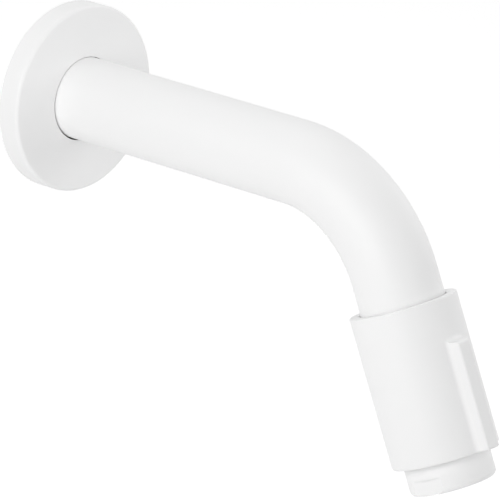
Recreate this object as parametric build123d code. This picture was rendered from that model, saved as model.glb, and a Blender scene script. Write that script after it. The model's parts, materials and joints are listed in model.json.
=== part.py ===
from build123d import *
import os
from math import cos, radians, sin, tan

# Wall-mounted basin tap. The origin is on the axis of the wall inlet, on the wall face.
# X is to the user's right, Y goes into the wall and Z is up. All sizes are in millimetres.
# A station is a distance along an axis: from the wall face outwards for what sits at the
# wall, and from the end of the bend downstream for what sits at the outlet.

# Clearances
FIT = 0.05  # between pieces that are pressed, screwed or squeezed together
RUN = 0.05  # radial running clearance of a turning piece
AIR = 0.4  # free space between a turning face and a fixed one
FILM = 0.02  # water film between the two lapped discs
CUT_SPARE = 1.0  # length by which a cut runs past the skin it opens
GROOVE_RATIO = 1.5  # width of an o-ring's groove to the ring's cord

# Spout
TUBE_D = 24.0
WATERWAY_D = 14.0
STRAIGHT_L = 89.2  # wall face to the start of the bend
BEND_R = 39.0  # centreline radius
BEND_DEG = 68.0
TAIL_L = 24.0  # straight length after the bend, most of it inside the sleeve

# Rosette and its two seals
ROSETTE_D = 54.8
ROSETTE_T = 7.0
ROSETTE_EDGE_R = 1.1
ROSETTE_GAP_ABOVE = 0.14  # over the tube; the rosette hangs low on its soft ring
ROSETTE_GAP_BELOW = 0.46  # under the tube
ROSETTE_RING_CORD = 1.6
ROSETTE_RING_INSET = 1.7  # from the rosette's front face to the middle of its ring
GASKET_OUT_D = 50.0
GASKET_W = 6.0
GASKET_T = 2.0

# Wall nipple, on which the spout slides and is locked by a grub screw
INLET_THREAD_D = 20.96
INLET_THREAD_L = 13.0
INLET_CHAMFER = 1.0
NIPPLE_FLANGE_D = 23.2
NIPPLE_FLANGE_T = 3.0
NIPPLE_SPIGOT_D = 17.0
NIPPLE_SPIGOT_L = 26.0
NIPPLE_BORE_D = 9.6
NIPPLE_KEY_AF = 10.0
NIPPLE_KEY_L = 8.0
NIPPLE_RING_CORD = 1.8
NIPPLE_RING_START = 19.0
NIPPLE_RING_STEP = 5.5
LOCK_STATION = 12.5
LOCK_GROOVE_DEPTH = 1.2
SCREW_D = 4.0
SCREW_KEY_AF = 2.0
SCREW_KEY_L = 1.8
SCREW_SUNK = 0.6  # below the tube's skin

# Valve cartridge at the end of the spout
VALVE_THREAD_D = 20.0
CHAMBER_D = 16.8
DISC_D = 16.6
DISC_T = 3.0
PORT_IN_D = 3.2
PORT_OUT_D = 12.8
PORT_DEG = 80.0
PORT_CORNER_R = 0.6
KEY_W = 2.8  # ears that hold the fixed disc
KEY_H = 0.8
DOG_W = 3.0  # dogs by which the spindle drives the turning disc
DOG_H = 1.6
DOG_IN_D = 14.2
INLET_SEAL_T = 3.0
BODY_INSET = 1.0  # from the valve's seat face to the cartridge body
HEX_AF = 21.0
HEX_T = 4.0
NECK_D = 19.2
NECK_L = 6.0
BODY_RING_CORD = 1.5
BODY_RING_INSET = 1.6  # from the end of the spout to the middle of its sealing ring
SHOULDER_T = 3.2  # metal between the end of the spout and the thrust shoulder
THRUST_T = 0.8
HEAD_T = 2.9

# Hollow spindle
SPINDLE_D = 14.0
SPINDLE_BORE_D = 9.0
SPINDLE_CUP_D = 13.0
SPINDLE_CUP_L = 2.2
SPINDLE_RING_CORD = 1.4
SPINDLE_RING_START = 3.0  # from the thrust shoulder to the middle of the first ring
SPINDLE_RING_STEP = 6.0
SPLINE_TEETH = 18
SPLINE_D = 13.6
SPLINE_ROOT_D = 12.6
SPLINE_ROOT_SHARE = 0.7  # of each step that a tooth takes at its root
SPLINE_TIP_SHARE = 0.3  # and at its tip
SPLINE_L = 3.0
SPINDLE_THREAD_D = 11.6
NUT_AF = 14.0
NUT_T = 4.0
SPINDLE_PROUD = 0.5  # past the nut

# Travel stop: a lug on the cartridge body in an arc pocket of the carrier
TURN_DEG = 90.0
STOP_DEG = 36.0
STOP_H = 2.0
STOP_SLACK_DEG = 1.0

# Sleeve, the turning handle, and the carrier inside it
SLEEVE_START = 8.0  # end of the bend to the sleeve's upper rim
SLEEVE_D = 30.5
SLEEVE_L = 43.2
SLEEVE_GAP = 0.4  # round the tube and round the nose
SLEEVE_TOP_R = 0.35
SLEEVE_FOOT_R = 0.6
SLEEVE_MOUTH_BEVEL = 0.2
COLLAR_T = 3.0
COLLAR_KEY_W = 4.0
CARRIER_T = 7.6
CARRIER_RING_CORD = 1.2
OUTLET_CHAMBER_D = 17.0

# Thumb fin on the sleeve
FIN_H = 3.4
FIN_FACE_W = 4.7
FIN_DRAFT_DEG = 10.5
FIN_TOP_DRAFT_DEG = 8.0
FIN_TOP = 12.6  # below the sleeve's upper rim, where the fin has its full height
FIN_ROOT_R = 1.5
FIN_EDGE_R = 0.8
FIN_SPARE = 7.5  # length drawn past the lower rim and trimmed off

# Bearing ring between spout and sleeve
BEARING_L = 4.8
BEARING_T = 1.2
BEARING_INSET = 4.0  # from the end of the spout
BEARING_SPLIT = 2.0

# Nose: the aerator's housing and what it holds
NOSE_D = 24.5
NOSE_WALL_T = 1.25  # round the outlet thread
NOSE_SHOW_L = 8.5  # what stands out of the sleeve
NOSE_EDGE_R = 1.5
NOSE_FLAT_DEPTH = 1.1
NOSE_FLAT_START = 3.8  # below the sleeve's lower rim
NOSE_FLAT_TURN_DEG = 6.0  # of the flats from the tap's sides towards its front
NOSE_STEP_W = 0.6  # each inward step from thread to bore and from bore to lip
NOSE_LIP_T = 1.5
GRID_RIM_T = 1.1
GRID_FACE_INSET = 0.7
GRID_WEB = 0.4
GRID_EDGE_W = 0.75
GRID_RINGS = 4
SCREEN_T = 0.4
SCREEN_WEB = 1.0
SCREEN_EDGE_W = 1.95
SCREEN_RINGS = 3
CARTRIDGE_L = 4.7
CARTRIDGE_RIM_T = 1.3
CARTRIDGE_GAP = 0.3  # air way round the cartridge
CARTRIDGE_WALL = 1.4
CARTRIDGE_PLATE_T = 1.4
CARTRIDGE_JETS = 12
CARTRIDGE_JET_D = 1.2
CARTRIDGE_JET_RING_D = 10.1
AIR_SLOTS = 8
AIR_SLOT_W = 2.0
AIR_SLOT_H = 1.6
NOSE_WASHER_T = 1.6
NOSE_WASHER_W = 2.7
REGULATOR_L = 1.5
REGULATOR_HOLES = 8
REGULATOR_HOLE_D = 1.4
REGULATOR_RING_D = 9.9

# Radii that many pieces share, and how far the rosette sits off the tube's axis
TUBE_R = TUBE_D / 2
ROSETTE_BORE_R = TUBE_R + (ROSETTE_GAP_ABOVE + ROSETTE_GAP_BELOW) / 2
ROSETTE_SAG = (ROSETTE_GAP_BELOW - ROSETTE_GAP_ABOVE) / 2
SLEEVE_BORE_R = TUBE_R + SLEEVE_GAP
SLEEVE_LOWER_R = NOSE_D / 2 + SLEEVE_GAP
SOCKET_R = VALVE_THREAD_D / 2
CHAMBER_R = CHAMBER_D / 2
DISC_R = DISC_D / 2
BEARING_BORE_R = SPINDLE_D / 2 + RUN
OUTLET_THREAD_R = NOSE_D / 2 - NOSE_WALL_T
NOSE_BORE_R = OUTLET_THREAD_R - NOSE_STEP_W
NOSE_LIP_R = NOSE_BORE_R - NOSE_STEP_W
NIPPLE_SOCKET_R = NIPPLE_SPIGOT_D / 2 + FIT

# Stations at the outlet, from the end of the spout up to the valve's seat
TUBE_END = TAIL_L
SHOULDER = TUBE_END - SHOULDER_T
THRUST_TOP = SHOULDER - FIT - THRUST_T
HEAD_END = THRUST_TOP - RUN
HEAD_TOP = HEAD_END - HEAD_T
LAP = HEAD_TOP - DISC_T - FILM
DISC_TOP = LAP - DISC_T
SEAT = DISC_TOP - INLET_SEAL_T
BODY_TOP = SEAT + BODY_INSET

# Stations below the spout
HEX_END = TUBE_END + HEX_T
NECK_END = HEX_END + NECK_L
CARRIER_TOP = NECK_END + AIR
SPLINE_TOP = NECK_END + STOP_H + AIR
SPLINE_END = SPLINE_TOP + SPLINE_L
WEB_END = SPLINE_END + CARRIER_RING_CORD + 2 * FIT
NUT_END = WEB_END + NUT_T
SPINDLE_END = NUT_END + SPINDLE_PROUD
COLLAR_TOP = CARRIER_TOP + CARRIER_T
COLLAR_END = COLLAR_TOP + COLLAR_T

# Stations of the sleeve and the nose, from its mouth upwards
SLEEVE_END = SLEEVE_START + SLEEVE_L
NOSE_END = SLEEVE_END + NOSE_SHOW_L
LIP_TOP = NOSE_END - NOSE_LIP_T
GRID_TOP = LIP_TOP - GRID_RIM_T
SCREEN_TOP = GRID_TOP - SCREEN_T
CARTRIDGE_TOP = SCREEN_TOP - CARTRIDGE_L
NOSE_STEP = CARTRIDGE_TOP + CARTRIDGE_RIM_T
SPIGOT_END = CARTRIDGE_TOP - NOSE_WASHER_T

# Frames: at the wall, looking out of it, and at the end of the bend, looking downstream
WALL = Plane(origin=(0, 0, 0), x_dir=(1, 0, 0), z_dir=(0, -1, 0))
BEND_END = (
    0,
    -STRAIGHT_L - BEND_R * sin(radians(BEND_DEG)),
    -BEND_R * (1 - cos(radians(BEND_DEG))),
)
DOWNSTREAM = (0, -cos(radians(BEND_DEG)), -sin(radians(BEND_DEG)))
OUTLET = Plane(origin=BEND_END, x_dir=(1, 0, 0), z_dir=DOWNSTREAM)


def turned(*outline):
    """Body of revolution about the local Z axis, from its (radius, station) corners."""
    return revolve(Plane.XZ * Polygon(*outline, align=None), axis=Axis.Z)


def tube(outer_r, inner_r, start, end):
    """Plain ring between two stations."""
    return turned((inner_r, start), (outer_r, start), (outer_r, end), (inner_r, end))


def rod(radius, start, end):
    """Plain round bar between two stations."""
    return Pos(0, 0, start) * extrude(Circle(radius), end - start)


def hex_bar(across_flats, start, end):
    """Hexagonal bar between two stations."""
    return Pos(0, 0, start) * extrude(
        RegularPolygon(across_flats / 2, 6, major_radius=False), end - start
    )


def o_ring(inner_r, outer_r, station):
    """Sealing ring that fills the space between two radii but for its fit."""
    cord_r = (outer_r - inner_r) / 2 - FIT
    return Pos(0, 0, station) * Torus((inner_r + outer_r) / 2, cord_r)


def groove(inner_r, outer_r, cord, station):
    """Room that an o-ring's groove takes."""
    half = GROOVE_RATIO * cord / 2
    return tube(outer_r, inner_r, station - half, station + half)


def sector(inner_r, outer_r, middle_deg, span_deg):
    """Flat annular sector about the axis."""
    first, last = middle_deg - span_deg / 2, middle_deg + span_deg / 2
    outer = CenterArc((0, 0), outer_r, first, span_deg)
    inner = CenterArc((0, 0), inner_r, first, span_deg)
    sides = [Line(inner @ 0, outer @ 0), Line(inner @ 1, outer @ 1)]
    return make_face([outer, inner] + sides)


def spout_run(radius, start, end):
    """Round bar along the spout, from a wall station to an outlet station."""
    level = WALL * rod(radius, start, STRAIGHT_L)
    hub = Axis((0, -STRAIGHT_L, -BEND_R), (1, 0, 0))
    section = WALL * Pos(0, 0, STRAIGHT_L) * Circle(radius)
    bend = revolve(section, axis=hub, revolution_arc=BEND_DEG)
    return level + bend + OUTLET * rod(radius, 0, end)


def ring_of(shape, radius, count):
    """So many copies of a flat shape, evenly round the axis."""
    return Sketch() + PolarLocations(radius, count) * shape


def hex_cells(pitch, rings):
    """Centres of a honeycomb of so many rings round a middle cell."""
    for row in range(-rings, rings + 1):
        count = 2 * rings + 1 - abs(row)
        for place in range(count):
            yield (place - (count - 1) / 2) * pitch, row * pitch * cos(radians(30))


def wall_rosette():
    """Flat round cover, relieved at the back for its gasket and grooved for its ring."""
    disc = tube(ROSETTE_D / 2, ROSETTE_BORE_R, 0, ROSETTE_T)
    rim = disc.edges().filter_by(GeomType.CIRCLE).group_by(Axis.Z)[-1]
    disc = fillet(rim.sort_by(SortBy.RADIUS)[-1], ROSETTE_EDGE_R)
    bed = tube(GASKET_OUT_D / 2, GASKET_OUT_D / 2 - GASKET_W, 0, GASKET_T)
    ring_r = TUBE_R + ROSETTE_RING_CORD + 2 * FIT
    ring_station = ROSETTE_T - ROSETTE_RING_INSET
    body = Pos(0, -ROSETTE_SAG, 0) * (disc - bed)
    return body - groove(TUBE_R, ring_r, ROSETTE_RING_CORD, ring_station)


def wall_gasket():
    """Soft ring in the rosette's back that seals it to the wall."""
    outer_r = GASKET_OUT_D / 2
    ring = tube(outer_r - FIT, outer_r - GASKET_W + FIT, 0, GASKET_T)
    return Pos(0, -ROSETTE_SAG, 0) * ring


def rosette_o_ring():
    """Ring that grips the tube and keeps the rosette against the wall."""
    outer_r = TUBE_R + ROSETTE_RING_CORD + 2 * FIT
    return o_ring(TUBE_R, outer_r, ROSETTE_T - ROSETTE_RING_INSET)


def nipple_ring_bed():
    """Radius of the bottom of the nipple's ring grooves."""
    return NIPPLE_SOCKET_R - NIPPLE_RING_CORD - 2 * FIT


def nipple_ring_stations():
    """Stations of the middles of the nipple's two rings."""
    return NIPPLE_RING_START, NIPPLE_RING_START + NIPPLE_RING_STEP


def wall_nipple():
    """Inlet nipple: thread into the wall, flange, and grooved spigot for the spout."""
    thread_r, spigot_r = INLET_THREAD_D / 2, NIPPLE_SPIGOT_D / 2
    end = NIPPLE_FLANGE_T + NIPPLE_SPIGOT_L
    body = turned(
        (NIPPLE_BORE_D / 2, -INLET_THREAD_L - INLET_CHAMFER),
        (thread_r - INLET_CHAMFER, -INLET_THREAD_L - INLET_CHAMFER),
        (thread_r, -INLET_THREAD_L),
        (thread_r, 0),
        (NIPPLE_FLANGE_D / 2, 0),
        (NIPPLE_FLANGE_D / 2, NIPPLE_FLANGE_T),
        (spigot_r, NIPPLE_FLANGE_T),
        (spigot_r, LOCK_STATION - SCREW_D / 2),
        (spigot_r - LOCK_GROOVE_DEPTH, LOCK_STATION - SCREW_D / 4),
        (spigot_r - LOCK_GROOVE_DEPTH, LOCK_STATION + SCREW_D / 4),
        (spigot_r, LOCK_STATION + SCREW_D / 2),
        (spigot_r, end),
        (NIPPLE_BORE_D / 2, end),
    )
    for station in nipple_ring_stations():
        body -= groove(nipple_ring_bed(), NIPPLE_SOCKET_R, NIPPLE_RING_CORD, station)
    return body - hex_bar(NIPPLE_KEY_AF, end - NIPPLE_KEY_L, end)


def nipple_o_rings():
    """The two rings that seal the spout on the nipple."""
    rings = [
        o_ring(nipple_ring_bed(), NIPPLE_SOCKET_R, station)
        for station in nipple_ring_stations()
    ]
    return rings[0] + rings[1]


def lock_frame():
    """Frame of the grub screw: under the spout, its axis pointing down out of the tube."""
    return Plane(origin=(0, 0, LOCK_STATION), x_dir=(1, 0, 0), z_dir=(0, -1, 0))


def spout_grub_screw():
    """Cone-point grub screw that holds the spout on the nipple's groove."""
    tip = NIPPLE_SPIGOT_D / 2 - LOCK_GROOVE_DEPTH + FIT
    cone = LOCK_GROOVE_DEPTH
    screw = turned(
        (0, tip),
        (SCREW_D / 4 - FIT, tip),
        (SCREW_D / 2 - FIT, tip + cone),
        (SCREW_D / 2 - FIT, TUBE_R - SCREW_SUNK),
        (0, TUBE_R - SCREW_SUNK),
    )
    socket = hex_bar(SCREW_KEY_AF, TUBE_R - SCREW_SUNK - SCREW_KEY_L, TUBE_R)
    return lock_frame() * (screw - socket)


def spout_tube():
    """Bent spout with its waterway, nipple socket, valve socket and bearing groove."""
    body = spout_run(TUBE_R, NIPPLE_FLANGE_T, TUBE_END)
    body -= spout_run(WATERWAY_D / 2, NIPPLE_FLANGE_T, TUBE_END)
    socket_end = NIPPLE_FLANGE_T + NIPPLE_SPIGOT_L + FIT
    body -= WALL * rod(NIPPLE_SOCKET_R, NIPPLE_FLANGE_T, socket_end)
    body -= WALL * lock_frame() * rod(
        SCREW_D / 2, NIPPLE_SPIGOT_D / 4, TUBE_R + CUT_SPARE
    )
    body -= OUTLET * rod(SOCKET_R, SEAT, TUBE_END)
    first = TUBE_END - BEARING_INSET - BEARING_L - FIT
    last = TUBE_END - BEARING_INSET + FIT
    bed_r = SLEEVE_BORE_R - RUN - BEARING_T - FIT
    return body - OUTLET * tube(TUBE_R + CUT_SPARE, bed_r, first, last)


def sleeve_bearing_ring():
    """Split plastic ring in the spout's groove, on which the sleeve turns."""
    outer_r = SLEEVE_BORE_R - RUN
    last = TUBE_END - BEARING_INSET
    ring = tube(outer_r, outer_r - BEARING_T, last - BEARING_L, last)
    split = Pos(0, -outer_r, last - BEARING_L / 2) * Box(
        BEARING_SPLIT, outer_r, BEARING_L + CUT_SPARE
    )
    return ring - split


def inlet_seal():
    """Rubber ring between the spout's seat and the fixed disc."""
    return tube(DISC_R, WATERWAY_D / 2, SEAT, DISC_TOP)


def ports(middle_deg, start, end):
    """Two opposite openings of a disc."""
    cut = Part()
    for turn in (0, 180):
        face = sector(PORT_IN_D / 2, PORT_OUT_D / 2, middle_deg + turn, PORT_DEG)
        face = fillet(face.vertices(), PORT_CORNER_R)
        cut += Pos(0, 0, start) * extrude(face, end - start)
    return cut


def opposite_blocks(width, inner_r, outer_r, middle_deg, start, end):
    """Two opposite blocks between two radii, with round outer ends."""
    bars = Box(2 * outer_r, width, end - start) - Box(
        2 * inner_r, width, end - start
    )
    bars = Rot(0, 0, middle_deg) * bars
    return (Pos(0, 0, (start + end) / 2) * bars) & rod(outer_r, start, end)


def fixed_disc():
    """Lower half of the ceramic valve, held by two ears; its ports lie left and right."""
    disc = rod(DISC_R, DISC_TOP, LAP)
    ears = opposite_blocks(KEY_W, DISC_R - KEY_H, DISC_R + KEY_H, 90, DISC_TOP, LAP)
    return disc + ears - ports(0, DISC_TOP, LAP)


def turning_disc():
    """Upper half of the ceramic valve, its ports a quarter turn from the fixed ones."""
    top = LAP + FILM
    disc = rod(DISC_R - FIT, top, HEAD_TOP)
    notch_r = DOG_IN_D / 2 - FIT
    notches = opposite_blocks(
        DOG_W + 2 * FIT, notch_r, DISC_R, 0, HEAD_TOP - DOG_H, HEAD_TOP
    )
    return disc - ports(90, top, HEAD_TOP) - notches


def valve_body():
    """Cartridge body: threaded barrel, hexagon, and neck with the travel stop."""
    body = rod(SOCKET_R - FIT, BODY_TOP, TUBE_END)
    body += hex_bar(HEX_AF, TUBE_END, HEX_END)
    body += rod(NECK_D / 2, HEX_END, NECK_END)
    lug_in = BEARING_BORE_R + AIR
    lug = extrude(sector(lug_in, NECK_D / 2, 0, STOP_DEG), STOP_H)
    body += Pos(0, 0, NECK_END) * lug
    body -= rod(CHAMBER_R, BODY_TOP, SHOULDER)
    body -= rod(BEARING_BORE_R, SHOULDER, NECK_END)
    slot_r = DISC_R + KEY_H + FIT
    body -= opposite_blocks(
        KEY_W + 2 * FIT, CHAMBER_R / 2, slot_r, 90, BODY_TOP, LAP
    )
    return body - groove(
        body_ring_bed(), SOCKET_R, BODY_RING_CORD, TUBE_END - BODY_RING_INSET
    )


def body_ring_bed():
    """Radius of the bottom of the cartridge's outer ring groove."""
    return SOCKET_R - BODY_RING_CORD - 2 * FIT


def valve_body_o_ring():
    """Ring that seals the cartridge in the spout."""
    return o_ring(body_ring_bed(), SOCKET_R, TUBE_END - BODY_RING_INSET)


def thrust_washer():
    """Low-friction washer under the spindle's head."""
    return tube(CHAMBER_R - FIT, BEARING_BORE_R + RUN, THRUST_TOP, SHOULDER - FIT)


def spindle_ring_bed():
    """Radius of the bottom of the spindle's ring grooves."""
    return BEARING_BORE_R - SPINDLE_RING_CORD - 2 * RUN


def splined(tip_r, root_r, start, end):
    """Toothed bar with as many straight teeth as the spindle."""
    step = 360 / SPLINE_TEETH
    root, tip = SPLINE_ROOT_SHARE / 2, SPLINE_TIP_SHARE / 2
    outline = []
    for tooth in range(SPLINE_TEETH):
        for radius, share in ((root_r, -root), (tip_r, -tip), (tip_r, tip), (root_r, root)):
            angle = radians((tooth + share) * step)
            outline.append((radius * cos(angle), radius * sin(angle)))
    return Pos(0, 0, start) * extrude(Polygon(*outline, align=None), end - start)


def spindle_ring_stations():
    """Stations of the middles of the spindle's two rings."""
    first = SHOULDER + SPINDLE_RING_START
    return first, first + SPINDLE_RING_STEP


def outlet_spindle():
    """Hollow spindle: driving dogs, head, sealed shaft, splines and threaded end."""
    bore_r, cup_r, head_r = SPINDLE_BORE_D / 2, SPINDLE_CUP_D / 2, DISC_R
    body = rod(head_r, HEAD_TOP, HEAD_END) + rod(SPINDLE_D / 2, HEAD_END, SPLINE_TOP)
    body += splined(SPLINE_D / 2, SPLINE_ROOT_D / 2, SPLINE_TOP, SPLINE_END)
    body += rod(SPINDLE_THREAD_D / 2, SPLINE_END, SPINDLE_END)
    dog_top = HEAD_TOP - DOG_H + FIT
    body += opposite_blocks(DOG_W, DOG_IN_D / 2, DISC_R - FIT, 0, dog_top, HEAD_TOP)
    body -= rod(bore_r, HEAD_TOP, SPINDLE_END)
    body -= turned(
        (0, HEAD_TOP),
        (cup_r, HEAD_TOP),
        (bore_r, HEAD_TOP + SPINDLE_CUP_L),
        (0, HEAD_TOP + SPINDLE_CUP_L),
    )
    for station in spindle_ring_stations():
        body -= groove(spindle_ring_bed(), SPINDLE_D / 2, SPINDLE_RING_CORD, station)
    return body


def spindle_o_rings():
    """The two rings that seal the turning spindle in the cartridge."""
    rings = [
        o_ring(spindle_ring_bed(), BEARING_BORE_R, station)
        for station in spindle_ring_stations()
    ]
    return rings[0] + rings[1]


def carrier_ring_bed():
    """Radius of the pocket of the carrier's sealing ring."""
    return SPINDLE_THREAD_D / 2 + CARRIER_RING_CORD + 2 * FIT


def sleeve_carrier():
    """Driver between spindle and sleeve, with the thread that carries the nose."""
    body = rod(SLEEVE_BORE_R - FIT, CARRIER_TOP, COLLAR_TOP)
    body += rod(OUTLET_THREAD_R, COLLAR_TOP, SPIGOT_END)
    keys = opposite_blocks(
        COLLAR_KEY_W,
        OUTLET_THREAD_R / 2,
        collar_key_r(),
        0,
        COLLAR_TOP,
        COLLAR_END,
    )
    body += keys
    body -= rod(OUTLET_CHAMBER_D / 2, WEB_END, SPIGOT_END)
    body -= rod(carrier_ring_bed(), SPLINE_END, WEB_END)
    body -= rod(SPINDLE_D / 2 + FIT, CARRIER_TOP, SPLINE_TOP)
    body -= splined(SPLINE_D / 2 + FIT, SPLINE_ROOT_D / 2 + FIT, SPLINE_TOP, SPLINE_END)
    pocket_deg = TURN_DEG + STOP_DEG + 2 * STOP_SLACK_DEG
    middle = -TURN_DEG / 2
    pocket = sector(SPINDLE_D / 4, NECK_D / 2 + AIR, middle, pocket_deg)
    return body - Pos(0, 0, CARRIER_TOP) * extrude(pocket, SPLINE_TOP - CARRIER_TOP)


def carrier_o_ring():
    """Ring that keeps water out of the splines."""
    middle = (SPLINE_END + WEB_END) / 2
    return o_ring(SPINDLE_THREAD_D / 2, carrier_ring_bed(), middle)


def retaining_nut():
    """Hollow nut that holds the carrier on the spindle."""
    nut = hex_bar(NUT_AF, WEB_END, NUT_END)
    return nut - rod(SPINDLE_THREAD_D / 2 + FIT, WEB_END, NUT_END)


def fin_section(level):
    """Outline of the fin at a depth below its outer face, wider at the root by its draft."""
    half = FIN_FACE_W / 2 + level * tan(radians(FIN_DRAFT_DEG))
    top = FIN_TOP - level * tan(radians(FIN_TOP_DRAFT_DEG))
    foot = SLEEVE_L + FIN_SPARE
    frame = Plane(
        origin=(0, SLEEVE_D / 2 + FIN_H - level, 0), x_dir=(1, 0, 0), z_dir=(0, -1, 0)
    )
    return frame * Polygon(
        (-half, top), (half, top), (half, foot), (-half, foot), align=None
    )


def sleeve_outside():
    """Outer form of the handle: a barrel with the thumb fin grown out of it."""
    radius = SLEEVE_D / 2
    # Barrel and fin are drawn past the lower rim, so that the fin's root runs out evenly.
    foot = SLEEVE_L + FIN_SPARE
    barrel = rod(radius, 0, foot)
    fin = loft([fin_section(0), fin_section(FIN_H + radius / 2)])
    fin = fillet(fin.faces().sort_by(Axis.Y)[-1].edges(), FIN_EDGE_R)
    block = barrel + fin
    roots = new_edges(barrel, fin, combined=block)
    block = fillet([edge for edge in roots if edge.center().Z < foot - FIT], FIN_ROOT_R)
    block = block & rod(2 * radius, 0, SLEEVE_L)
    block = fillet(block.faces().sort_by(Axis.Z)[-1].edges(), SLEEVE_FOOT_R)
    return fillet(block.faces().sort_by(Axis.Z)[0].edges(), SLEEVE_TOP_R)


def collar_key_r():
    """Outer radius of the carrier's two drive keys."""
    return (OUTLET_THREAD_R + SLEEVE_BORE_R) / 2


def control_sleeve():
    """Turning handle with its thumb fin, and the slotted collar by which it is driven."""
    body = Pos(0, 0, SLEEVE_START) * sleeve_outside()
    body -= rod(SLEEVE_BORE_R, SLEEVE_START, COLLAR_TOP)
    body -= rod(OUTLET_THREAD_R + 2 * FIT, COLLAR_TOP, COLLAR_END)
    body -= rod(SLEEVE_LOWER_R, COLLAR_END, SLEEVE_END)
    body -= opposite_blocks(
        COLLAR_KEY_W + 2 * FIT,
        OUTLET_THREAD_R / 2,
        collar_key_r() + FIT,
        0,
        COLLAR_TOP,
        COLLAR_END,
    )
    mouths = body.edges().filter_by(GeomType.CIRCLE).group_by(Axis.Z)
    ends = [mouths[0].sort_by(SortBy.RADIUS)[0], mouths[-1].sort_by(SortBy.RADIUS)[0]]
    return chamfer(ends, SLEEVE_MOUTH_BEVEL)


def aerator_housing():
    """Nose of the tap: threaded shell with a rounded mouth and two spanner flats."""
    nose_r, thread_r = NOSE_D / 2, OUTLET_THREAD_R + FIT
    shell = turned(
        (thread_r, COLLAR_END),
        (nose_r, COLLAR_END),
        (nose_r, NOSE_END),
        (NOSE_LIP_R, NOSE_END),
        (NOSE_LIP_R, LIP_TOP),
        (NOSE_BORE_R, LIP_TOP),
        (NOSE_BORE_R, NOSE_STEP),
        (thread_r, NOSE_STEP),
    )
    mouth = shell.edges().filter_by(GeomType.CIRCLE).group_by(Axis.Z)[-1]
    shell = fillet(mouth.sort_by(SortBy.RADIUS)[-1], NOSE_EDGE_R)
    start = SLEEVE_END + NOSE_FLAT_START
    for side in (1, -1):
        middle = side * (NOSE_D - NOSE_FLAT_DEPTH)
        flat = Box(NOSE_D, NOSE_D, NOSE_END - start + NOSE_LIP_T)
        flat = Pos(middle, 0, (start + NOSE_END + NOSE_LIP_T) / 2) * flat
        shell -= Rot(0, 0, -NOSE_FLAT_TURN_DEG) * flat
    return shell


def nose_washer():
    """Flat rubber ring between the carrier's thread end and the aerator cartridge."""
    inner_r = OUTLET_THREAD_R - NOSE_WASHER_W
    return tube(OUTLET_THREAD_R, inner_r, SPIGOT_END, CARTRIDGE_TOP)


def flow_regulator():
    """Coned disc with a ring of holes on top of the aerator cartridge."""
    outer_r = OUTLET_THREAD_R - NOSE_WASHER_W - FIT
    top = CARTRIDGE_TOP - REGULATOR_L
    disc = turned(
        (0, CARTRIDGE_TOP),
        (outer_r, CARTRIDGE_TOP),
        (outer_r, CARTRIDGE_TOP - REGULATOR_L / 2),
        (outer_r / 2, top),
        (0, top),
    )
    holes = ring_of(Circle(REGULATOR_HOLE_D / 2), REGULATOR_RING_D / 2, REGULATOR_HOLES)
    return disc - Pos(0, 0, top) * extrude(holes, REGULATOR_L)


def aerator_cartridge():
    """Plastic cup with jets in its plate and air slots at its lower edge."""
    barrel_r = NOSE_BORE_R - CARTRIDGE_GAP
    plate_end = CARTRIDGE_TOP + CARTRIDGE_PLATE_T
    body = rod(OUTLET_THREAD_R - FIT, CARTRIDGE_TOP, NOSE_STEP)
    body += rod(barrel_r, CARTRIDGE_TOP, SCREEN_TOP)
    body -= rod(barrel_r - CARTRIDGE_WALL, plate_end, SCREEN_TOP)
    jets = ring_of(Circle(CARTRIDGE_JET_D / 2), CARTRIDGE_JET_RING_D / 2, CARTRIDGE_JETS)
    body -= Pos(0, 0, CARTRIDGE_TOP) * extrude(jets, CARTRIDGE_PLATE_T)
    slots = ring_of(Rectangle(3 * CARTRIDGE_WALL, AIR_SLOT_W), barrel_r, AIR_SLOTS)
    return body - Pos(0, 0, SCREEN_TOP - AIR_SLOT_H) * extrude(slots, AIR_SLOT_H)


def cell_pitch(disc_r, edge_w, rings):
    """Pitch at which so many rings of cells fill a disc inside its plain edge."""
    return (disc_r - edge_w) / (rings + 0.5)


def perforated(cell, pitch, rings, start, end):
    """Cutter for a honeycomb of like cells."""
    cells = [Pos(x, y) * cell for x, y in hex_cells(pitch, rings)]
    return Pos(0, 0, start) * extrude(Sketch() + cells, end - start)


def aerator_screen():
    """Thin steel screen under the cartridge."""
    disc_r = NOSE_BORE_R - FIT
    pitch = cell_pitch(disc_r, SCREEN_EDGE_W, SCREEN_RINGS)
    cell = Rectangle(pitch - SCREEN_WEB, pitch - SCREEN_WEB)
    disc = rod(disc_r, SCREEN_TOP, GRID_TOP)
    return disc - perforated(cell, pitch, SCREEN_RINGS, SCREEN_TOP, GRID_TOP)


def aerator_grid():
    """Honeycomb insert at the mouth, which straightens the stream."""
    face, face_r = NOSE_END - GRID_FACE_INSET, NOSE_LIP_R - FIT
    body = rod(NOSE_BORE_R - FIT, GRID_TOP, LIP_TOP) + rod(face_r, LIP_TOP, face)
    pitch = cell_pitch(face_r, GRID_EDGE_W, GRID_RINGS)
    half = (pitch - GRID_WEB) / 2
    cell = RegularPolygon(half, 6, major_radius=False, rotation=30)
    return body - perforated(cell, pitch, GRID_RINGS, GRID_TOP, face)


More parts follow.
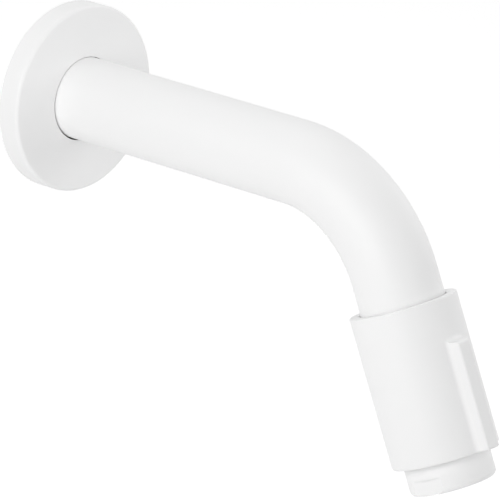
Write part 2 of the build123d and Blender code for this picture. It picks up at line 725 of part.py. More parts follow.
def assembly():
    """Every piece of the tap by its name, in place."""
    at_wall = {
        "wall_rosette": wall_rosette(),
        "wall_gasket": wall_gasket(),
        "rosette_o_ring": rosette_o_ring(),
        "wall_nipple": wall_nipple(),
        "nipple_o_rings": nipple_o_rings(),
        "spout_grub_screw": spout_grub_screw(),
    }
    at_outlet = {
        "sleeve_bearing_ring": sleeve_bearing_ring(),
        "inlet_seal": inlet_seal(),
        "fixed_disc": fixed_disc(),
        "turning_disc": turning_disc(),
        "valve_body": valve_body(),
        "valve_body_o_ring": valve_body_o_ring(),
        "thrust_washer": thrust_washer(),
        "outlet_spindle": outlet_spindle(),
        "spindle_o_rings": spindle_o_rings(),
        "sleeve_carrier": sleeve_carrier(),
        "carrier_o_ring": carrier_o_ring(),
        "retaining_nut": retaining_nut(),
        "control_sleeve": control_sleeve(),
        "aerator_housing": aerator_housing(),
        "nose_washer": nose_washer(),
        "flow_regulator": flow_regulator(),
        "aerator_cartridge": aerator_cartridge(),
        "aerator_screen": aerator_screen(),
        "aerator_grid": aerator_grid(),
    }
    pieces = {"spout_tube": spout_tube()}
    pieces.update({name: WALL * piece for name, piece in at_wall.items()})
    pieces.update({name: OUTLET * piece for name, piece in at_outlet.items()})
    return pieces


os.makedirs("parts", exist_ok=True)
for node, piece in assembly().items():
    export_step(piece, f"parts/{node}.step")
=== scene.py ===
import json
from math import atan2, cos, pi, radians, sin

import bpy
from bpy.props import FloatProperty, FloatVectorProperty, IntProperty, PointerProperty
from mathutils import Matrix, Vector


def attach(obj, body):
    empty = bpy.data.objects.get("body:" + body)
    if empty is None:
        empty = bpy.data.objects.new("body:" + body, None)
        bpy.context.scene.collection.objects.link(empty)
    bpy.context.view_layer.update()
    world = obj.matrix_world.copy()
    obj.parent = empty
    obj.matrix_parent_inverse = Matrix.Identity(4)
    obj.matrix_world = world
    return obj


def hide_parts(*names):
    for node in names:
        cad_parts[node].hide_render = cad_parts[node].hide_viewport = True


bl_info = {
    "name": "Wall-mounted basin tap",
    "version": (1, 0, 0),
    "blender": (4, 5, 0),
    "location": "View3D > Sidebar > Tap",
    "description": "Finishes a matt white wall tap and sets it in a plain studio",
    "category": "Object",
}

MM = 0.001

# Inlet thread: widths as shares of the pitch, and its start in pitches from the wall
GROOVE_MOUTH = 0.84
GROOVE_ROOT = 0.2  # of the mouth
GROOVE_START = 0.9
GROOVE_SPARE = 0.5 * MM  # by which its cutter stands out of the crests
THREAD_STEPS = 64  # faces round one turn
WELD = 0.001 * MM  # points closer than this are one

SHARP_ANGLE = radians(35)  # edges sharper than this stay crisp

# Finishes: how far color and roughness stray over a surface
COAT_TINT = 0.01
COAT_SHEEN = 0.05
MOULD_SHEEN = 0.06
TARNISH = 0.86  # darkest brass or steel, as a share of its color
BRIGHTEST = 1.12
METAL_POLISHED = 0.1
METAL_DULLED = 0.14
TOOL_MARK_DEPTH = 0.004 * MM
LAPPED_ROUGHNESS = (0.12, 0.22)
LAPPED_TINT = (0.97, 1.02)
LAPPING_PITCH = MM / 12
LAPPING_DEPTH = 0.0006 * MM
FOAM_PIT_DEPTH = 0.15 * MM
FOAM_PIT_REACH = 0.45  # of a cell, from its middle
FOAM_PIT_SHADE = 0.35  # of the foam's color in a pit, painted darker as the shade inside its cell
FOAM_SKIN_SHARE = 1.3  # and between the pits
FOAM_ROUGHNESS = 0.9
CLOUDS_PER_GRAIN = 0.02
STAINS_PER_RING = 0.05
RING_TO_STAIN = 0.6  # share of the stains in a turned piece's tone

# Sockets of a Mix node that mixes colors
COLOR_A, COLOR_B, COLOR_RESULT = 6, 7, 2

# Studio
LOW_SIDE = radians(12)
HIGH_SIDE = radians(50)
SIDE_FOCUS = 4.0  # how narrow the light of one side is
FLOOR_SIZE = 12.0
FLOOR_WHITE = 0.85
FLOOR_GLOW = 0.48  # brings the lit paper up to white, for what looks at it
LIGHT_SIZE = 0.4
LIGHT_AIM = Vector((0, -0.08, -0.02))
LEFT_PLACE = (-0.6, -0.15, 0.2)
RIGHT_PLACE = (0.5, -0.2, 0.2)
TOP_PLACE = (0.0, 0.1, 0.6)
FRAME_WIDTH = 36.0  # of the camera, in millimetres
NEAR_CLIP = 0.05
FAR_CLIP = 50.0

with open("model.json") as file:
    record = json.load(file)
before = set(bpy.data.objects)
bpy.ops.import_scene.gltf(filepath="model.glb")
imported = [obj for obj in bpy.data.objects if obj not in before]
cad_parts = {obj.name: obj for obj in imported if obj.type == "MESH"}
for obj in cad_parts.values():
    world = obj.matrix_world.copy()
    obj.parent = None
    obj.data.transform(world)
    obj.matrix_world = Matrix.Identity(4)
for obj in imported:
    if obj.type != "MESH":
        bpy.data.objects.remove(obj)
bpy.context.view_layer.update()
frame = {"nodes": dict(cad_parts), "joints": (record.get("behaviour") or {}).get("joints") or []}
NODES = frame["nodes"]

# The outlet's axis, about which the sleeve turns, and the tilts of the two turned axes
OUTLET_AXIS = Vector(frame["joints"][0]["axis"])
OUTLET_POINT = Vector(frame["joints"][0]["pos_m"])
OUTLET_TILT = atan2(-OUTLET_AXIS.y, OUTLET_AXIS.z)
WALL_TILT = pi / 2


class CoatSettings(bpy.types.PropertyGroup):
    """The matt coat on every outer piece."""

    color: FloatVectorProperty(
        name="Coat color",
        description="Color of the matt coat",
        subtype="COLOR",
        size=3,
        min=0.0,
        max=1.0,
        default=(0.9, 0.9, 0.9),
    )
    roughness: FloatProperty(
        name="Coat roughness",
        description="How matt the coat is",
        subtype="FACTOR",
        min=0.0,
        max=1.0,
        default=0.5,
    )
    grain: FloatProperty(
        name="Grain size",
        description="Distance between the bumps of the sprayed coat",
        subtype="DISTANCE",
        unit="LENGTH",
        default=0.35 * MM,
    )
    relief: FloatProperty(
        name="Grain height",
        description="Height of the bumps of the sprayed coat",
        subtype="DISTANCE",
        unit="LENGTH",
        default=0.003 * MM,
    )


class MetalSettings(bpy.types.PropertyGroup):
    """Turned brass and stainless steel."""

    brass: FloatVectorProperty(
        name="Brass color",
        description="Color of the uncoated brass",
        subtype="COLOR",
        size=3,
        min=0.0,
        max=1.0,
        default=(0.74, 0.57, 0.31),
    )
    steel: FloatVectorProperty(
        name="Steel color",
        description="Color of the stainless steel",
        subtype="COLOR",
        size=3,
        min=0.0,
        max=1.0,
        default=(0.62, 0.62, 0.62),
    )
    tool_pitch: FloatProperty(
        name="Tool mark pitch",
        description="Distance between the rings that the lathe tool leaves",
        subtype="DISTANCE",
        unit="LENGTH",
        default=0.12 * MM,
    )
    thread_pitch: FloatProperty(
        name="Thread pitch",
        description="Distance from one crest of the inlet thread to the next",
        subtype="DISTANCE",
        unit="LENGTH",
        default=1.814 * MM,
    )
    thread_depth: FloatProperty(
        name="Thread depth",
        description="Height of the inlet thread from root to crest",
        subtype="DISTANCE",
        unit="LENGTH",
        default=1.16 * MM,
    )
    thread_radius: FloatProperty(
        name="Thread radius",
        description="Radius over the crests of the inlet thread",
        subtype="DISTANCE",
        unit="LENGTH",
        default=10.48 * MM,
    )
    thread_turns: IntProperty(
        name="Thread turns",
        description="Turns of the inlet thread's groove, with its run-out at both ends",
        min=1,
        default=8,
    )


class SealSettings(bpy.types.PropertyGroup):
    """Rubber, foam, ceramic and plastic pieces."""

    rubber: FloatVectorProperty(
        name="Rubber color",
        description="Color of the sealing rings",
        subtype="COLOR",
        size=3,
        min=0.0,
        max=1.0,
        default=(0.03, 0.03, 0.03),
    )
    foam: FloatVectorProperty(
        name="Foam color",
        description="Color of the wall gasket",
        subtype="COLOR",
        size=3,
        min=0.0,
        max=1.0,
        default=(0.09, 0.09, 0.095),
    )
    foam_cell: FloatProperty(
        name="Foam cell size",
        description="Size of the cells of the wall gasket",
        subtype="DISTANCE",
        unit="LENGTH",
        default=0.6 * MM,
    )
    ceramic: FloatVectorProperty(
        name="Ceramic color",
        description="Color of the valve discs",
        subtype="COLOR",
        size=3,
        min=0.0,
        max=1.0,
        default=(0.92, 0.9, 0.86),
    )
    acetal: FloatVectorProperty(
        name="Bearing color",
        description="Color of the bearing ring and the thrust washer",
        subtype="COLOR",
        size=3,
        min=0.0,
        max=1.0,
        default=(0.86, 0.85, 0.8),
    )
    insert: FloatVectorProperty(
        name="Aerator color",
        description="Color of the moulded aerator pieces",
        subtype="COLOR",
        size=3,
        min=0.0,
        max=1.0,
        default=(0.62, 0.64, 0.66),
    )


class StudioSettings(bpy.types.PropertyGroup):
    """Light, floor and camera."""

    front: FloatProperty(
        name="Front light",
        description="Strength of the soft light from the front",
        subtype="FACTOR",
        min=0.0,
        default=0.8,
    )
    front_left: FloatProperty(
        name="Front left light",
        description="Strength of the soft light from the front left",
        subtype="FACTOR",
        min=0.0,
        default=0.5,
    )
    front_right: FloatProperty(
        name="Front right light",
        description="Strength of the soft light from the front right",
        subtype="FACTOR",
        min=0.0,
        default=0.85,
    )
    back: FloatProperty(
        name="Back light",
        description="Strength of the soft light from the back",
        subtype="FACTOR",
        min=0.0,
        default=0.7,
    )
    back_left: FloatProperty(
        name="Back left light",
        description="Strength of the soft light from the back left",
        subtype="FACTOR",
        min=0.0,
        default=0.5,
    )
    back_high: FloatProperty(
        name="High back light",
        description="Strength of the soft light from high up at the back right",
        subtype="FACTOR",
        min=0.0,
        default=0.9,
    )
    left_power: FloatProperty(
        name="Left light power",
        description="Power of the soft light on the left",
        subtype="POWER",
        unit="POWER",
        min=0.0,
        default=2.0,
    )
    right_power: FloatProperty(
        name="Right light power",
        description="Power of the soft light on the right",
        subtype="POWER",
        unit="POWER",
        min=0.0,
        default=0.65,
    )
    top_power: FloatProperty(
        name="Top light power",
        description="Power of the soft light over the rosette",
        subtype="POWER",
        unit="POWER",
        min=0.0,
        default=0.6,
    )
    floor_level: FloatProperty(
        name="Floor height",
        description="Height of the floor from the middle of the rosette",
        subtype="DISTANCE",
        unit="LENGTH",
        default=-0.28,
    )
    azimuth: FloatProperty(
        name="Camera azimuth",
        description="Direction in which the camera looks, from straight at the wall",
        subtype="ANGLE",
        unit="ROTATION",
        default=radians(47.235),
    )
    elevation: FloatProperty(
        name="Camera elevation",
        description="Height of the camera above the horizon",
        subtype="ANGLE",
        unit="ROTATION",
        default=radians(20.251),
    )
    place: FloatVectorProperty(
        name="Camera place",
        description="Where the camera stands",
        subtype="TRANSLATION",
        unit="LENGTH",
        size=3,
        default=(-0.91077, -0.91392, 0.42786),
    )
    lens: FloatProperty(
        name="Focal length",
        description="Focal length in millimetres for a 36 mm wide frame",
        unit="CAMERA",
        default=339.6,
    )


def add_node(tree, kind, column, row, **values):
    """A node of a material or a group, in a column and row, with its own settings."""
    node = tree.nodes.new(kind)
    node.location = (column * 200, row * -200)
    for name, value in values.items():
        setattr(node, name, value)
    return node


def link(tree, source, output, target, socket):
    """Joins an output to an input, each by its name or number."""
    tree.links.new(source.outputs[output], target.inputs[socket])


def new_group(name, inputs, outputs):
    """A shader node group with named sockets, and its two ends."""
    tree = bpy.data.node_groups.new(name, "ShaderNodeTree")
    for socket, kind, value in inputs:
        made = tree.interface.new_socket(socket, in_out="INPUT", socket_type=kind)
        if value is not None:
            made.default_value = value
    for socket in outputs:
        tree.interface.new_socket(socket, in_out="OUTPUT", socket_type="NodeSocketFloat")
    start = add_node(tree, "NodeGroupInput", -6, 0)
    end = add_node(tree, "NodeGroupOutput", 4, 0)
    return tree, start, end


def fine_grain_group():
    """Small rounded bumps and slow clouds, as sprayed and moulded surfaces have."""
    if "fine_grain" in bpy.data.node_groups:
        return bpy.data.node_groups["fine_grain"]
    tree, start, end = new_group(
        "fine_grain",
        (
            ("Vector", "NodeSocketVector", None),
            ("Grains per metre", "NodeSocketFloat", 3000.0),
        ),
        ("Height", "Tone"),
    )
    bumps = add_node(tree, "ShaderNodeTexNoise", -2, 0)
    bumps.inputs["Detail"].default_value = 2.0
    bumps.inputs["Roughness"].default_value = 0.45
    link(tree, start, "Vector", bumps, "Vector")
    link(tree, start, "Grains per metre", bumps, "Scale")
    coarse = add_node(tree, "ShaderNodeMath", -4, 1, operation="MULTIPLY")
    coarse.inputs[1].default_value = CLOUDS_PER_GRAIN
    link(tree, start, "Grains per metre", coarse, 0)
    clouds = add_node(tree, "ShaderNodeTexNoise", -2, 1)
    clouds.inputs["Detail"].default_value = 3.0
    link(tree, start, "Vector", clouds, "Vector")
    link(tree, coarse, 0, clouds, "Scale")
    link(tree, bumps, "Fac", end, "Height")
    link(tree, clouds, "Fac", end, "Tone")
    return tree


def tool_marks_group():
    """Fine rings round the local Z axis, on sides and on end faces, from turning."""
    if "tool_marks" in bpy.data.node_groups:
        return bpy.data.node_groups["tool_marks"]
    tree, start, end = new_group(
        "tool_marks",
        (
            ("Vector", "NodeSocketVector", None),
            ("Rings per metre", "NodeSocketFloat", 8000.0),
        ),
        ("Height", "Tone"),
    )
    parts = add_node(tree, "ShaderNodeSeparateXYZ", -5, 0)
    link(tree, start, "Vector", parts, 0)
    flat = add_node(tree, "ShaderNodeCombineXYZ", -4, 1)
    link(tree, parts, "X", flat, "X")
    link(tree, parts, "Y", flat, "Y")
    radius = add_node(tree, "ShaderNodeVectorMath", -3, 1, operation="LENGTH")
    link(tree, flat, 0, radius, 0)
    ringed = add_node(tree, "ShaderNodeCombineXYZ", -2, 0)
    link(tree, parts, "Z", ringed, "X")
    link(tree, radius, "Value", ringed, "Y")
    rings = add_node(tree, "ShaderNodeTexNoise", 0, 0, noise_dimensions="2D")
    rings.inputs["Detail"].default_value = 1.0
    link(tree, ringed, 0, rings, "Vector")
    link(tree, start, "Rings per metre", rings, "Scale")
    coarse = add_node(tree, "ShaderNodeMath", -2, 2, operation="MULTIPLY")
    coarse.inputs[1].default_value = STAINS_PER_RING
    link(tree, start, "Rings per metre", coarse, 0)
    stains = add_node(tree, "ShaderNodeTexNoise", 0, 1)
    stains.inputs["Detail"].default_value = 4.0
    link(tree, start, "Vector", stains, "Vector")
    link(tree, coarse, 0, stains, "Scale")
    both = add_node(tree, "ShaderNodeMix", 2, 1)
    both.inputs["Factor"].default_value = RING_TO_STAIN
    link(tree, rings, "Fac", both, "A")
    link(tree, stains, "Fac", both, "B")
    link(tree, rings, "Fac", end, "Height")
    link(tree, both, "Result", end, "Tone")
    return tree


def new_material(name, color, roughness, metallic=0.0):
    """A material with even values on its surface shader."""
    material = bpy.data.materials.new(name)
    material.use_nodes = True
    tree = material.node_tree
    shader = tree.nodes["Principled BSDF"]
    shader.inputs["Base Color"].default_value = (*color, 1.0)
    shader.inputs["Roughness"].default_value = roughness
    shader.inputs["Metallic"].default_value = metallic
    return material, tree, shader


def place_node(tree, tilt=None):
    """The place on the piece, turned so that local Z runs along a piece's own axis."""
    place = add_node(tree, "ShaderNodeTexCoord", -9, 0)
    if tilt is None:
        return place, "Object"
    turned = add_node(tree, "ShaderNodeMapping", -8, 0, vector_type="TEXTURE")
    turned.inputs["Rotation"].default_value = (tilt, 0, 0)
    if tilt == OUTLET_TILT:
        turned.inputs["Location"].default_value = OUTLET_POINT
    link(tree, place, "Object", turned, "Vector")
    return turned, "Vector"


def add_effect(tree, shader, group, count, relief, tilt=None):
    """Lays a group's bumps on a shader and returns the group's node."""
    place, output = place_node(tree, tilt)
    effect = add_node(tree, "ShaderNodeGroup", -6, 0, node_tree=group)
    effect.inputs[1].default_value = count
    link(tree, place, output, effect, "Vector")
    bump = add_node(tree, "ShaderNodeBump", -2, 2)
    bump.inputs["Distance"].default_value = relief
    link(tree, effect, "Height", bump, "Height")
    link(tree, bump, "Normal", shader, "Normal")
    return effect


def scaled(color, share):
    """A color made darker or lighter by a share."""
    return tuple(channel * share for channel in color)


def two_tones(tree, color, darker, lighter):
    """A Mix node between two shades of a color."""
    tint = add_node(tree, "ShaderNodeMix", -3, -1, data_type="RGBA")
    tint.inputs[COLOR_A].default_value = (*scaled(color, darker), 1.0)
    tint.inputs[COLOR_B].default_value = (*scaled(color, lighter), 1.0)
    return tint


def shade_by_tone(tree, shader, effect, color, shades, roughness):
    """Varies color and roughness a little with the group's tone."""
    tint = two_tones(tree, color, *shades)
    link(tree, effect, "Tone", tint, 0)
    link(tree, tint, COLOR_RESULT, shader, "Base Color")
    spread = add_node(tree, "ShaderNodeMapRange", -3, 1)
    spread.inputs["To Min"].default_value = roughness[0]
    spread.inputs["To Max"].default_value = roughness[1]
    link(tree, effect, "Tone", spread, "Value")
    link(tree, spread, "Result", shader, "Roughness")


def sprayed_coat(coat):
    """Matt white coat: fine grain from spraying and a faintly uneven sheen."""
    rough = coat.roughness
    material, tree, shader = new_material("matt_white_coat", coat.color, rough)
    effect = add_effect(tree, shader, fine_grain_group(), 1.0 / coat.grain, coat.relief)
    shades = (1 - COAT_TINT, 1 + COAT_TINT)
    shade_by_tone(
        tree, shader, effect, coat.color, shades, (rough - COAT_SHEEN, rough + COAT_SHEEN)
    )
    return material


def turned_metal(name, color, rough, pitch, tilt=None):
    """Bare metal from the lathe, with tool rings round its axis and a light tarnish."""
    material, tree, shader = new_material(name, color, rough, metallic=1.0)
    effect = add_effect(
        tree, shader, tool_marks_group(), 1.0 / pitch, TOOL_MARK_DEPTH, tilt
    )
    roughness = (rough - METAL_POLISHED, rough + METAL_DULLED)
    shade_by_tone(tree, shader, effect, color, (TARNISH, BRIGHTEST), roughness)
    return material


def lapped_ceramic(color):
    """Valve ceramic, lapped nearly to a mirror."""
    material, tree, shader = new_material("lapped_ceramic", color, LAPPED_ROUGHNESS[0])
    effect = add_effect(
        tree, shader, tool_marks_group(), 1.0 / LAPPING_PITCH, LAPPING_DEPTH, OUTLET_TILT
    )
    shade_by_tone(tree, shader, effect, color, LAPPED_TINT, LAPPED_ROUGHNESS)
    return material


def moulded(name, color, rough, grain, relief, spread):
    """Moulded rubber or plastic with the fine grain of its mould."""
    material, tree, shader = new_material(name, color, rough)
    effect = add_effect(tree, shader, fine_grain_group(), 1.0 / grain, relief)
    shades = (1 - spread, 1 + spread)
    shade_by_tone(
        tree, shader, effect, color, shades, (rough - MOULD_SHEEN, rough + MOULD_SHEEN)
    )
    return material


def cellular_foam(color, cell):
    """Foam rubber with small open cells in its cut faces, each pit painted darker as the shade
    inside the cell.
    """
    material, tree, shader = new_material("gasket_foam", color, FOAM_ROUGHNESS)
    place, output = place_node(tree)
    cells = add_node(tree, "ShaderNodeTexVoronoi", -6, 0)
    cells.inputs["Scale"].default_value = 1.0 / cell
    link(tree, place, output, cells, "Vector")
    pits = add_node(tree, "ShaderNodeMapRange", -4, 0)
    pits.inputs["From Max"].default_value = FOAM_PIT_REACH
    link(tree, cells, "Distance", pits, "Value")
    # Painted shade: the color darkens towards each pit's middle, in place of the shade inside
    # the cells
    tint = two_tones(tree, color, FOAM_PIT_SHADE, FOAM_SKIN_SHARE)
    link(tree, pits, "Result", tint, 0)
    link(tree, tint, COLOR_RESULT, shader, "Base Color")
    bump = add_node(tree, "ShaderNodeBump", -2, 1)
    bump.inputs["Distance"].default_value = FOAM_PIT_DEPTH
    link(tree, pits, "Result", bump, "Height")
    link(tree, bump, "Normal", shader, "Normal")
    return material


def finish_nodes(names, material):
    """Gives CAD nodes their finish."""
    for name in names:
        mesh = NODES[name].data
        mesh.materials.clear()
        mesh.materials.append(material)


def only(thing):
    """Selects one object alone and makes it the active one."""
    bpy.ops.object.select_all(action="DESELECT")
    thing.select_set(True)
    bpy.context.view_layer.objects.active = thing


def apply_modifier(thing, kind, **values):
    """Adds a modifier with its settings and applies it."""
    only(thing)
    modifier = thing.modifiers.new(kind.title(), kind)
    for name, value in values.items():
        setattr(modifier, name, value)
    bpy.ops.object.modifier_apply(modifier=modifier.name)


def pick_edges(mesh, test):
    """Selects the edges of a mesh whose middle passes a test."""
    for part in (*mesh.polygons, *mesh.edges, *mesh.vertices):
        part.select = False
    for edge in mesh.edges:
        ends = [mesh.vertices[end] for end in edge.vertices]
        if test((ends[0].co + ends[1].co) / 2):
            edge.select = True
            for end in ends:
                end.select = True


def weld(thing):
    """Merges the points of a mesh that lie together and leaves it in edit mode."""
    only(thing)
    bpy.ops.object.mode_set(mode="EDIT")
    bpy.ops.mesh.select_all(action="SELECT")
    bpy.ops.mesh.remove_doubles(threshold=WELD)


def groove_outline(metal):
    """Outline of the thread's groove, wide at the crests and narrow at the root."""
    depth, radius = metal.thread_depth, metal.thread_radius
    bpy.ops.object.select_all(action="DESELECT")
    bpy.ops.mesh.primitive_plane_add(size=1.0)
    groove = bpy.context.object
    groove.name = "thread_groove"
    groove.scale = (GROOVE_SPARE, GROOVE_MOUTH * metal.thread_pitch, 1)
    groove.location = (radius + GROOVE_SPARE / 2, 0, 0)
    bpy.ops.object.transform_apply()
    pick_edges(groove.data, lambda middle: middle.x < radius + WELD)
    bpy.ops.object.mode_set(mode="EDIT")
    bpy.ops.mesh.select_mode(type="EDGE")
    bpy.ops.mesh.extrude_region_move(TRANSFORM_OT_translate={"value": (-depth, 0, 0)})
    bpy.ops.transform.resize(value=(1, GROOVE_ROOT, 1))
    bpy.ops.mesh.select_all(action="SELECT")
    bpy.ops.mesh.dissolve_limited(angle_limit=radians(1))
    bpy.ops.mesh.select_all(action="SELECT")
    bpy.ops.mesh.delete(type="ONLY_FACE")
    bpy.ops.object.mode_set(mode="OBJECT")
    return groove


def thread_groove(metal):
    """The helical groove of the inlet thread, as a closed solid to be cut away."""
    groove = groove_outline(metal)
    apply_modifier(
        groove,
        "SCREW",
        axis="Y",
        screw_offset=metal.thread_pitch,
        iterations=metal.thread_turns,
        steps=THREAD_STEPS,
        render_steps=THREAD_STEPS,
    )
    weld(groove)
    bpy.ops.mesh.fill_holes(sides=0)
    bpy.ops.mesh.select_all(action="SELECT")
    bpy.ops.mesh.normals_make_consistent(inside=False)
    bpy.ops.object.mode_set(mode="OBJECT")
    groove.location = (0, GROOVE_START * metal.thread_pitch, 0)
    only(groove)
    bpy.ops.object.transform_apply()
    return groove


def merged_copy(node, name):
    """A copy of a CAD node's mesh with its loose triangles joined."""
    only(node)
    bpy.ops.object.duplicate()
    copy = bpy.context.object
    copy.name = name
    weld(copy)
    bpy.ops.mesh.customdata_custom_splitnormals_clear()
    bpy.ops.object.mode_set(mode="OBJECT")
    return copy


class TAP_OT_coat(bpy.types.Operator):
    """Coats the rosette, the spout, the sleeve and the nose"""

    bl_idname = "tap.coat"
    bl_label = "Coat the outer pieces"

    def execute(self, context):
        finish_nodes(
            ("wall_rosette", "spout_tube", "control_sleeve", "aerator_housing"),
            sprayed_coat(context.scene.tap_coat),
        )
        return {"FINISHED"}


class TAP_OT_inlet(bpy.types.Operator):
    """Cuts the pipe thread of the wall nipple"""

    bl_idname = "tap.inlet"
    bl_label = "Cut the inlet thread"

    def execute(self, context):
        metal = context.scene.tap_metal
        groove = thread_groove(metal)
        nipple = merged_copy(NODES["wall_nipple"], "inlet_nipple")
        apply_modifier(nipple, "BOOLEAN", object=groove, operation="DIFFERENCE")
        bpy.data.objects.remove(groove)
        only(nipple)
        bpy.ops.object.shade_smooth_by_angle(angle=SHARP_ANGLE)
        nipple.data.materials.clear()
        nipple.data.materials.append(
            turned_metal(
                "nipple_brass",
                metal.brass,
                rough=0.32,
                pitch=metal.tool_pitch,
                tilt=WALL_TILT,
            )
        )
        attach(nipple, "spout")
        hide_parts("wall_nipple")
        return {"FINISHED"}


class TAP_OT_brass(bpy.types.Operator):
    """Finishes the brass pieces of the valve and the steel screw and screen"""

    bl_idname = "tap.brass"
    bl_label = "Finish the metal pieces"

    def execute(self, context):
        metal = context.scene.tap_metal
        pitch = metal.tool_pitch
        finish_nodes(
            ("valve_body", "outlet_spindle", "retaining_nut", "sleeve_carrier"),
            turned_metal(
                "valve_brass", metal.brass, rough=0.3, pitch=pitch, tilt=OUTLET_TILT
            ),
        )
        finish_nodes(
            ("spout_grub_screw",),
            turned_metal("screw_steel", metal.steel, rough=0.35, pitch=pitch),
        )
        finish_nodes(
            ("aerator_screen",),
            turned_metal(
                "screen_steel", metal.steel, rough=0.3, pitch=pitch, tilt=OUTLET_TILT
            ),
        )
        return {"FINISHED"}


class TAP_OT_seals(bpy.types.Operator):
    """Finishes the rubber rings and the foam gasket"""

    bl_idname = "tap.seals"
    bl_label = "Finish the seals"

    def execute(self, context):
        seal = context.scene.tap_seal
        finish_nodes(
            (
                "rosette_o_ring",
                "nipple_o_rings",
                "inlet_seal",
                "valve_body_o_ring",
                "spindle_o_rings",
                "carrier_o_ring",
                "nose_washer",
            ),
            moulded(
                "black_rubber",
                seal.rubber,
                rough=0.55,
                grain=0.3 * MM,
                relief=0.004 * MM,
                spread=0.25,
            ),
        )
        finish_nodes(("wall_gasket",), cellular_foam(seal.foam, seal.foam_cell))
        return {"FINISHED"}


class TAP_OT_valve(bpy.types.Operator):
    """Finishes the ceramic discs and the plastic bearing pieces"""

    bl_idname = "tap.valve"
    bl_label = "Finish discs and bearings"

    def execute(self, context):
        seal = context.scene.tap_seal
        finish_nodes(
            ("fixed_disc", "turning_disc"), lapped_ceramic(seal.ceramic)
        )
        finish_nodes(
            ("sleeve_bearing_ring", "thrust_washer"),
            moulded(
                "bearing_acetal",
                seal.acetal,
                rough=0.38,
                grain=0.4 * MM,
                relief=0.002 * MM,
                spread=0.02,
            ),
        )
        return {"FINISHED"}


class TAP_OT_aerator(bpy.types.Operator):
    """Finishes the moulded pieces inside the nose"""

    bl_idname = "tap.aerator"
    bl_label = "Finish the aerator"

    def execute(self, context):
        seal = context.scene.tap_seal
        finish_nodes(
            ("aerator_grid", "aerator_cartridge", "flow_regulator"),
            moulded(
                "aerator_plastic",
                seal.insert,
                rough=0.42,
                grain=0.35 * MM,
                relief=0.003 * MM,
                spread=0.03,
            ),
        )
        return {"FINISHED"}


def seen_or_mirrored(tree):
    """A node whose output is 1 for what the camera, gloss and glass see, and else 0."""
    path = add_node(tree, "ShaderNodeLightPath", -7, 3)
    seen = add_node(tree, "ShaderNodeMath", -6, 3, operation="MAXIMUM")
    link(tree, path, "Is Camera Ray", seen, 0)
    link(tree, path, "Is Glossy Ray", seen, 1)
    either = add_node(tree, "ShaderNodeMath", -5, 3, operation="MAXIMUM")
    link(tree, seen, 0, either, 0)
    link(tree, path, "Is Transmission Ray", either, 1)
    return either


def floor_paper():
    """Pale paper that keeps the tap's shadow and is seen as white round it."""
    material = bpy.data.materials.new("floor_paper")
    material.use_nodes = True
    tree = material.node_tree
    tree.nodes.remove(tree.nodes["Principled BSDF"])
    diffuse = add_node(tree, "ShaderNodeBsdfDiffuse", -3, 1)
    diffuse.inputs["Color"].default_value = (FLOOR_WHITE, FLOOR_WHITE, FLOOR_WHITE, 1)
    share = add_node(tree, "ShaderNodeMath", -4, 2, operation="MULTIPLY")
    share.inputs[1].default_value = FLOOR_GLOW
    link(tree, seen_or_mirrored(tree), 0, share, 0)
    glow = add_node(tree, "ShaderNodeEmission", -3, 2)
    link(tree, share, 0, glow, "Strength")
    both = add_node(tree, "ShaderNodeAddShader", -2, 1)
    link(tree, diffuse, 0, both, 0)
    link(tree, glow, 0, both, 1)
    # From underneath the paper is clear, so that views from below see the tap
    through = add_node(tree, "ShaderNodeBsdfTransparent", -3, 3)
    side = add_node(tree, "ShaderNodeNewGeometry", -3, 0)
    pick = add_node(tree, "ShaderNodeMixShader", -1, 1)
    link(tree, side, "Backfacing", pick, 0)
    link(tree, both, 0, pick, 1)
    link(tree, through, 0, pick, 2)
    link(tree, pick, 0, tree.nodes["Material Output"], "Surface")
    return material


def side_of(eighths, height):
    """Direction of a side, some eighths of a turn from the front round by the left."""
    turn = eighths * pi / 4
    return Vector((-sin(turn) * cos(height), -cos(turn) * cos(height), sin(height)))


def white_surround(studio):
    """Soft white light from several sides, seen and mirrored as even white."""
    world = bpy.data.worlds.new("studio_surround")
    world.use_nodes = True
    tree = world.node_tree
    ground = tree.nodes["Background"]
    ground.inputs["Color"].default_value = (1, 1, 1, 1)
    around = add_node(tree, "ShaderNodeTexCoord", -12, 0)
    total = add_node(tree, "ShaderNodeValue", -8, -1)
    total.outputs[0].default_value = 0.0
    sides = (
        (side_of(0, LOW_SIDE), studio.front),
        (side_of(1, LOW_SIDE), studio.front_left),
        (side_of(7, LOW_SIDE), studio.front_right),
        (side_of(4, LOW_SIDE), studio.back),
        (side_of(3, LOW_SIDE), studio.back_left),
        (side_of(5, HIGH_SIDE), studio.back_high),
    )
    for row, (side, strength) in enumerate(sides):
        facing = add_node(tree, "ShaderNodeVectorMath", -11, row, operation="DOT_PRODUCT")
        facing.inputs[1].default_value = side
        link(tree, around, "Generated", facing, 0)
        front = add_node(tree, "ShaderNodeMath", -10, row, operation="MAXIMUM")
        front.inputs[1].default_value = 0.0
        link(tree, facing, "Value", front, 0)
        lobe = add_node(tree, "ShaderNodeMath", -9, row, operation="POWER")
        lobe.inputs[1].default_value = SIDE_FOCUS
        link(tree, front, 0, lobe, 0)
        added = add_node(tree, "ShaderNodeMath", -8, row, operation="MULTIPLY_ADD")
        added.inputs[1].default_value = strength
        link(tree, lobe, 0, added, 0)
        link(tree, total, 0, added, 2)
        total = added
    mix = add_node(tree, "ShaderNodeMix", -2, 0)
    mix.inputs["B"].default_value = 1.0
    link(tree, total, 0, mix, "A")
    link(tree, seen_or_mirrored(tree), 0, mix, "Factor")
    link(tree, mix, "Result", ground, "Strength")
    return world


def soft_light(name, place, power):
    """A square soft light that faces the tap."""
    bpy.ops.object.light_add(type="AREA", location=place)
    lamp = bpy.context.object
    lamp.name = name
    lamp.data.shape = "SQUARE"
    lamp.data.size = LIGHT_SIZE
    lamp.data.energy = power
    aim = LIGHT_AIM - lamp.location
    lamp.rotation_euler = aim.to_track_quat("-Z", "Y").to_euler()


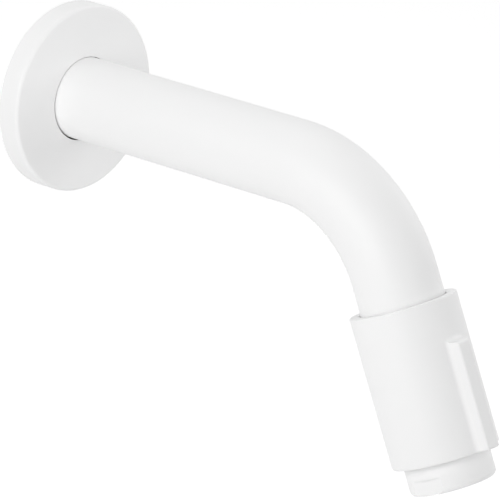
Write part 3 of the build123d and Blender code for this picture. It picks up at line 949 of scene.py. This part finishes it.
class TAP_OT_studio(bpy.types.Operator):
    """Sets the floor, the light and the camera"""

    bl_idname = "tap.studio"
    bl_label = "Set the studio"

    def execute(self, context):
        scene, studio = context.scene, context.scene.tap_studio
        scene.view_settings.view_transform = "Standard"
        scene.world = white_surround(studio)
        bpy.ops.object.select_all(action="DESELECT")
        bpy.ops.mesh.primitive_plane_add(size=FLOOR_SIZE, location=(0, 0, studio.floor_level))
        floor = context.object
        floor.name = "studio_floor"
        floor.data.materials.append(floor_paper())
        soft_light("left_light", LEFT_PLACE, studio.left_power)
        soft_light("right_light", RIGHT_PLACE, studio.right_power)
        soft_light("top_light", TOP_PLACE, studio.top_power)

        across, up = studio.azimuth, studio.elevation
        ahead = Vector((sin(across) * cos(up), cos(across) * cos(up), -sin(up)))
        bpy.ops.object.camera_add(location=studio.place)
        camera = context.object
        camera.rotation_euler = ahead.to_track_quat("-Z", "Y").to_euler()
        camera.data.sensor_width = FRAME_WIDTH
        camera.data.lens = studio.lens
        camera.data.clip_start = NEAR_CLIP
        camera.data.clip_end = FAR_CLIP
        scene.camera = camera
        return {"FINISHED"}


class TAP_PT_panel(bpy.types.Panel):
    """Lists the steps that finish the tap"""

    bl_label = "Wall tap"
    bl_idname = "TAP_PT_panel"
    bl_space_type = "VIEW_3D"
    bl_region_type = "UI"
    bl_category = "Tap"

    def draw(self, context):
        for step in STEPS:
            self.layout.operator(step.bl_idname)


SETTINGS = {
    "tap_coat": CoatSettings,
    "tap_metal": MetalSettings,
    "tap_seal": SealSettings,
    "tap_studio": StudioSettings,
}
STEPS = (
    TAP_OT_coat,
    TAP_OT_inlet,
    TAP_OT_brass,
    TAP_OT_seals,
    TAP_OT_valve,
    TAP_OT_aerator,
    TAP_OT_studio,
)


def register():
    """Adds the classes and the scene's settings."""
    for kind in (*SETTINGS.values(), *STEPS, TAP_PT_panel):
        bpy.utils.register_class(kind)
    for name, kind in SETTINGS.items():
        setattr(bpy.types.Scene, name, PointerProperty(type=kind))


def unregister():
    """Takes the settings and the classes out again."""
    for name in SETTINGS:
        delattr(bpy.types.Scene, name)
    for kind in reversed((*SETTINGS.values(), *STEPS, TAP_PT_panel)):
        bpy.utils.unregister_class(kind)


def main():
    """Runs every step in order."""
    register()
    bpy.ops.tap.coat()
    bpy.ops.tap.inlet()
    bpy.ops.tap.brass()
    bpy.ops.tap.seals()
    bpy.ops.tap.valve()
    bpy.ops.tap.aerator()
    bpy.ops.tap.studio()


if __name__ == "__main__":
    main()
